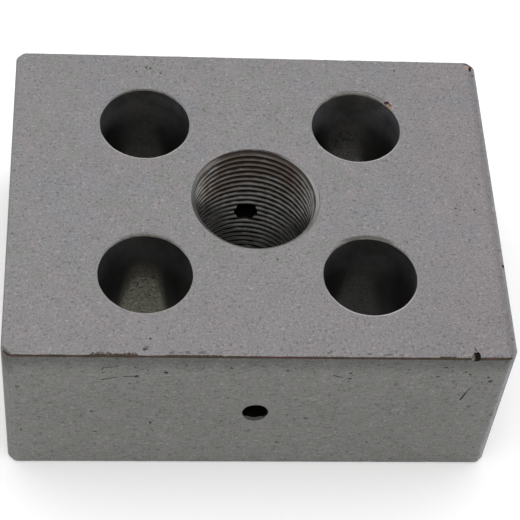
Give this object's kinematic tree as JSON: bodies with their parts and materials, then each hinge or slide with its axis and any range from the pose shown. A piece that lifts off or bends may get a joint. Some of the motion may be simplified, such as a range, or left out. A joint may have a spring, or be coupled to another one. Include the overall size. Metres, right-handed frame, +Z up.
{
  "type": "rope adapter plate",
  "caption": "Thick steel block with a fine threaded bore through its middle, plain rope stud holes at its corners and a small cross hole that meets the thread.",
  "frame": {"origin": "middle of the bottom face, on the axis of the rod thread", "axes": "+Z up along the rod thread, +X along the longer side, -Y towards the front face with the cross hole"},
  "size_m": [0.127, 0.1, 0.05],
  "materials": {
    "machined_steel": "matt grey machined steel with a fine grain, rust along worn edges"
  },
  "bodies": {
    "root": {"adapter_plate": "machined_steel"}
  },
  "joints": []
}
